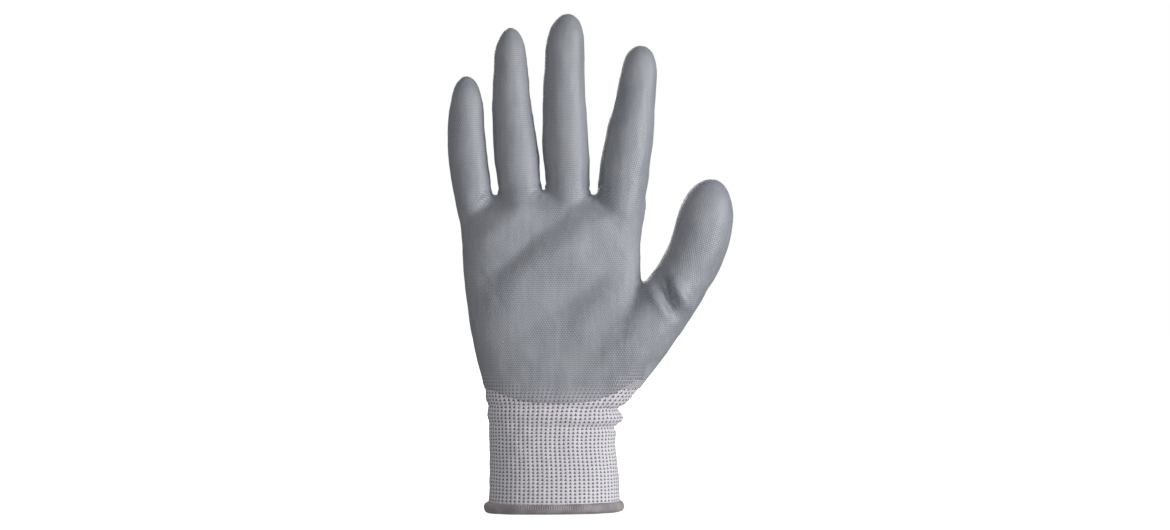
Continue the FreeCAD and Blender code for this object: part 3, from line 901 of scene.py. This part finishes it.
yarns = []
for number in range(elasticYarns["count"]):
    middle = elasticYarns["first"] + elasticYarns["step"] * number

    def placeYarn(step, turn, middle=middle):
        angles = evenAngles(elasticYarns["around"], *cuffKnit["oval"])[step]
        half = elasticYarns["half"] + elasticYarns["bead"] * np.cos(2 * math.pi * step / 3)
        outwards = -cuffKnit["wall"] - 0.05 + half * np.cos(turn)
        return placeOnCuff(angles, middle + half * np.sin(turn), outwards)

    yarns.append(ovalRing("elastic_yarn", elasticYarns["around"], 8, placeYarn))
elastic = joinPieces(yarns, "elastic_yarns")
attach(elastic, "cuff")
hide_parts("cuff_elastic")
print("stage: cuff, hem and elastic")


def newGroup(name, outputs):
    group = bpy.data.node_groups.new(name, "ShaderNodeTree")
    for output, kind in outputs.items():
        group.interface.new_socket(output, in_out="OUTPUT", socket_type=kind)
    return group, group.nodes.new("NodeGroupOutput")


def mathNode(tree, operation, first, second=None, third=None):
    node = tree.nodes.new("ShaderNodeMath")
    node.operation = operation
    for socket, value in zip(node.inputs, (first, second, third)):
        if value is None:
            continue
        if isinstance(value, (int, float)):
            socket.default_value = value
        else:
            tree.links.new(value, socket)
    return node.outputs[0]


def mapRange(tree, value, low, high, to=(0, 1), soft=True):
    node = tree.nodes.new("ShaderNodeMapRange")
    node.interpolation_type = "SMOOTHSTEP" if soft else "LINEAR"
    tree.links.new(value, node.inputs["Value"])
    for name, number in (("From Min", low), ("From Max", high), ("To Min", to[0]), ("To Max", to[1])):
        node.inputs[name].default_value = number
    return node.outputs["Result"]


def weaveAxes(tree, layer="weave"):
    uv = tree.nodes.new("ShaderNodeUVMap")
    uv.uv_map = layer
    parts = tree.nodes.new("ShaderNodeSeparateXYZ")
    tree.links.new(uv.outputs["UV"], parts.inputs[0])
    return parts.outputs["X"], parts.outputs["Y"]


def noiseNode(tree, scale, detail=3.0, stretch=(1, 1, 1)):
    where = tree.nodes.new("ShaderNodeTexCoord")
    mapping = tree.nodes.new("ShaderNodeMapping")
    mapping.inputs["Scale"].default_value = stretch
    node = tree.nodes.new("ShaderNodeTexNoise")
    node.inputs["Scale"].default_value = scale
    node.inputs["Detail"].default_value = detail
    tree.links.new(where.outputs["Object"], mapping.inputs["Vector"])
    tree.links.new(mapping.outputs["Vector"], node.inputs["Vector"])
    return node.outputs["Fac"]


def mixColour(tree, factor, first, second):
    node = tree.nodes.new("ShaderNodeMix")
    node.data_type = "RGBA"
    tree.links.new(factor, node.inputs["Factor"])
    for socket, value in ((node.inputs[6], first), (node.inputs[7], second)):
        if isinstance(value, tuple):
            socket.default_value = (*value, 1)
        else:
            tree.links.new(value, socket)
    return node.outputs[2]


# distance from the middle of a wale, 0 to 0.5
def halfFold(tree, u):
    return mathNode(tree, "ABSOLUTE", mathNode(tree, "SUBTRACT", mathNode(tree, "FRACT", u), 0.5))


# plain knit: rows of small Vs; height and a mask of the gaps, where shade is painted
def makeJersey():
    group, out = newGroup("Jersey", {"Height": "NodeSocketFloat", "ShadeInGap": "NodeSocketFloat"})
    u, v = weaveAxes(group)
    fold = halfFold(group, u)
    slope = mathNode(group, "ADD", v, mathNode(group, "MULTIPLY", fold, 1.1))
    leg = mathNode(group, "COSINE", mathNode(group, "MULTIPLY", slope, 2 * math.pi))
    valley = mathNode(group, "COSINE", mathNode(group, "MULTIPLY", fold, 4 * math.pi))
    height = mathNode(group, "MULTIPLY_ADD", leg, 0.3, 0.5)
    height = mathNode(group, "MULTIPLY_ADD", valley, -0.2, height)
    group.links.new(height, out.inputs["Height"])
    group.links.new(mapRange(group, height, 0.42, 0.05), out.inputs["ShadeInGap"])
    return group


# fine slanting grain that the knit gives the coating over it
def makeGrain():
    group, out = newGroup("CoatedGrain", {"Height": "NodeSocketFloat"})
    u, v = weaveAxes(group)
    slant = mathNode(group, "MULTIPLY_ADD", v, 0.5, u)
    rows = mathNode(group, "SINE", mathNode(group, "MULTIPLY", v, 2 * math.pi))
    beads = mathNode(group, "SINE", mathNode(group, "MULTIPLY", slant, 2 * math.pi))
    height = mathNode(group, "MULTIPLY_ADD", rows, 0.3, 0.5)
    height = mathNode(group, "MULTIPLY_ADD", beads, 0.3, height)
    group.links.new(height, out.inputs["Height"])
    return group


# painted shade in the three-cornered openings between the cuff's stitches, and the yarn's height
def makeOpenings(name, layer):
    group, out = newGroup(name, {"ShadeInGap": "NodeSocketFloat", "Height": "NodeSocketFloat"})
    u, v = weaveAxes(group, layer)
    fold = halfFold(group, u)
    up = mathNode(group, "FRACT", v)
    width = mapRange(group, up, 0.18, 0.88, (0.38, 0.0), soft=False)
    inside = mapRange(group, mathNode(group, "SUBTRACT", width, fold), 0.0, 0.09)
    floor = mapRange(group, up, 0.1, 0.2)
    gapShade = mathNode(group, "MULTIPLY", inside, floor)
    group.links.new(gapShade, out.inputs["ShadeInGap"])
    slant = mathNode(group, "MULTIPLY", mathNode(group, "ADD", up, fold), 3.0)
    strands = mathNode(group, "COSINE", mathNode(group, "MULTIPLY", slant, 2 * math.pi))
    height = mathNode(group, "MULTIPLY_ADD", strands, 0.12, 0.6)
    height = mathNode(group, "SUBTRACT", height, mathNode(group, "MULTIPLY", gapShade, 0.6))
    group.links.new(height, out.inputs["Height"])
    return group


jersey, grain = makeJersey(), makeGrain()
openings = makeOpenings("CuffOpenings", "weave")
showing = makeOpenings("OpeningsUnderCoat", "stitches")


def newMaterial(name, roughness, sheen=0.0, specular=0.5):
    material = bpy.data.materials.new(name)
    material.use_nodes = True
    tree = material.node_tree
    shader = tree.nodes["Principled BSDF"]
    shader.inputs["Roughness"].default_value = roughness
    shader.inputs["Sheen Weight"].default_value = sheen
    shader.inputs["Specular IOR Level"].default_value = specular
    return material, tree, shader


def useGroup(tree, group):
    node = tree.nodes.new("ShaderNodeGroup")
    node.node_tree = group
    return node


# bumps in a chain: (height, strength, distance in millimetres)
def addBump(tree, shader, layers):
    last = None
    for height, strength, distance in layers:
        bump = tree.nodes.new("ShaderNodeBump")
        bump.inputs["Strength"].default_value = strength
        bump.inputs["Distance"].default_value = distance * mm
        tree.links.new(height, bump.inputs["Height"])
        if last is not None:
            tree.links.new(last, bump.inputs["Normal"])
        last = bump.outputs["Normal"]
    tree.links.new(last, shader.inputs["Normal"])


# two of these are painted light: a highlight on the grain's peaks and shade in the stitch openings under the
# thin coat
coatColours = {
    "dark": (0.206, 0.219, 0.254), "light": (0.253, 0.265, 0.299), "streak": (0.32, 0.328, 0.35),
    "peakHighlight": (0.45, 0.46, 0.485), "overYarn": (0.54, 0.53, 0.58), "shadeInOpenings": (0.10, 0.105, 0.12),
}


def coatingMaterial():
    material, tree, shader = newMaterial("coating", 0.45, specular=0.55)
    woven, below = useGroup(tree, grain), useGroup(tree, showing)
    blotch = noiseNode(tree, 45, 4)
    streaks = noiseNode(tree, 420, 2, (1, 1, 0.12))
    fine = noiseNode(tree, 900, 2)
    spec = coatColours
    base = mixColour(tree, mapRange(tree, blotch, 0.3, 0.7), spec["dark"], spec["light"])
    base = mixColour(tree, mapRange(tree, streaks, 0.35, 0.75, (0, 0.4)), base, spec["streak"])
    # painted highlight: a lighter colour on the peaks of the grain
    peaks = mapRange(tree, woven.outputs["Height"], 0.62, 1.1)
    colour = mixColour(tree, mathNode(tree, "MULTIPLY", peaks, 0.5), base, spec["peakHighlight"])
    thin = tree.nodes.new("ShaderNodeAttribute")
    thin.attribute_name = "thin_coat"
    paleness = mathNode(tree, "MULTIPLY", thin.outputs["Fac"], 0.35)
    colour = mixColour(tree, paleness, colour, spec["overYarn"])
    # painted shade in the stitch openings that show through the thin coat near the dipped edge
    dark = mathNode(tree, "MULTIPLY", below.outputs["ShadeInGap"], thin.outputs["Fac"])
    colour = mixColour(tree, mathNode(tree, "MULTIPLY", dark, 0.85), colour, spec["shadeInOpenings"])
    tree.links.new(colour, shader.inputs["Base Color"])
    tree.links.new(mapRange(tree, blotch, 0.3, 0.7, (0.36, 0.5)), shader.inputs["Roughness"])
    dips = mathNode(tree, "MULTIPLY", below.outputs["Height"], thin.outputs["Fac"])
    addBump(tree, shader, [
        (woven.outputs["Height"], 0.6, 0.15), (fine, 0.15, 0.12), (streaks, 0.25, 0.3),
        (blotch, 0.3, 0.6), (dips, 0.5, 0.3),
    ])
    return material


def knitMaterial(name, group, yarn, gapShade, strength, distance):
    material, tree, shader = newMaterial(name, 0.85, sheen=0.25, specular=0.25)
    woven = useGroup(tree, group)
    fuzz = noiseNode(tree, 1400, 3)
    broad = noiseNode(tree, 60, 3)
    pale = mixColour(tree, mapRange(tree, broad, 0.3, 0.7), tuple(c * 0.94 for c in yarn), yarn)
    # painted shade in the gaps between the stitches
    colour = mixColour(tree, mathNode(tree, "MULTIPLY", woven.outputs["ShadeInGap"], 0.9), pale, gapShade)
    tree.links.new(colour, shader.inputs["Base Color"])
    addBump(tree, shader, [(woven.outputs["Height"], strength, distance), (fuzz, 0.25, 0.15)])
    return material


def threadMaterial(name, colour, dark):
    material, tree, shader = newMaterial(name, 0.8, sheen=0.2, specular=0.25)
    fuzz = noiseNode(tree, 1200, 3)
    broad = noiseNode(tree, 150, 3)
    mixed = mixColour(tree, mapRange(tree, broad, 0.35, 0.65), dark, colour)
    tree.links.new(mixed, shader.inputs["Base Color"])
    addBump(tree, shader, [(fuzz, 0.4, 0.2)])
    return material


coating = coatingMaterial()
# each knit's second colour is painted shade in its stitch gaps
handYarn = knitMaterial("hand_knit", jersey, (0.66, 0.64, 0.68), (0.22, 0.21, 0.24), 1.0, 0.5)
cuffYarn = knitMaterial("cuff_yarn", openings, (0.74, 0.715, 0.77), (0.05, 0.047, 0.062), 0.9, 0.5)
hemThread = threadMaterial("hem_thread", (0.33, 0.30, 0.31), (0.25, 0.225, 0.235))
elasticYarn = threadMaterial("elastic_yarn", (0.72, 0.71, 0.72), (0.62, 0.61, 0.62))


def paint(piece, material):
    piece.data.materials.clear()
    piece.data.materials.append(material)


for piece in knitPieces:
    paint(piece, handYarn)
for piece in coatPieces:
    paint(piece, coating)
paint(cuff, cuffYarn)
paint(hem, hemThread)
paint(elastic, elasticYarn)


def makeStage():
    deselectAll()
    bpy.ops.mesh.primitive_plane_add(size=8, location=(0, 0, -0.0006))
    floor = bpy.context.object
    floor.name = "floor"
    material, tree, shader = newMaterial("pale_floor", 0.9, specular=0.0)
    shader.inputs["Base Color"].default_value = (0.9, 0.9, 0.9, 1)
    shader.inputs["Emission Color"].default_value = (1, 1, 1, 1)
    shader.inputs["Emission Strength"].default_value = 1.0
    paint(floor, material)
    floor.visible_diffuse = floor.visible_glossy = False


lights = {  # place, width, height, power
    "key": ((1.35, -0.75, 0.16), 0.5, 0.8, 26),
    "front": ((0.35, -1.55, 0.4), 0.8, 0.6, 8),
    "rear": ((-0.3, 1.7, 0.8), 1.2, 0.9, 14),
}
lightTarget = Vector((0.01, 0, 0.12))


def addLight(name, place, width, height, power):
    light = bpy.data.lights.new(name, "AREA")
    light.shape = "RECTANGLE"
    light.size, light.size_y, light.energy = width, height, power
    lamp = linkNew(name, light)
    lamp.location = place
    lamp.rotation_euler = (lightTarget - Vector(place)).to_track_quat("-Z", "Y").to_euler()


makeStage()
for name, settings in lights.items():
    addLight(name, *settings)
world = bpy.data.worlds.new("pale")
bpy.context.scene.world = world
world.use_nodes = True
sky = world.node_tree
ray = sky.nodes.new("ShaderNodeLightPath")
sky.nodes["Background"].inputs["Color"].default_value = (1, 1, 1, 1)
# the sky is dimmer as light than as backdrop
strength = mapRange(sky, ray.outputs["Is Camera Ray"], 0, 1, (0.27, 1.0))
sky.links.new(strength, sky.nodes["Background"].inputs["Strength"])

camera = bpy.data.cameras.new("camera")
camera.lens = 98.5
camera.sensor_width = 36
eye = linkNew("camera", camera)
eye.location = (0.0158, -1.6, 0.1235)
eye.rotation_euler = (math.pi / 2, 0, 0)
bpy.context.scene.camera = eye
bpy.context.scene.view_settings.view_transform = "Standard"

print("stage: materials, light and camera")
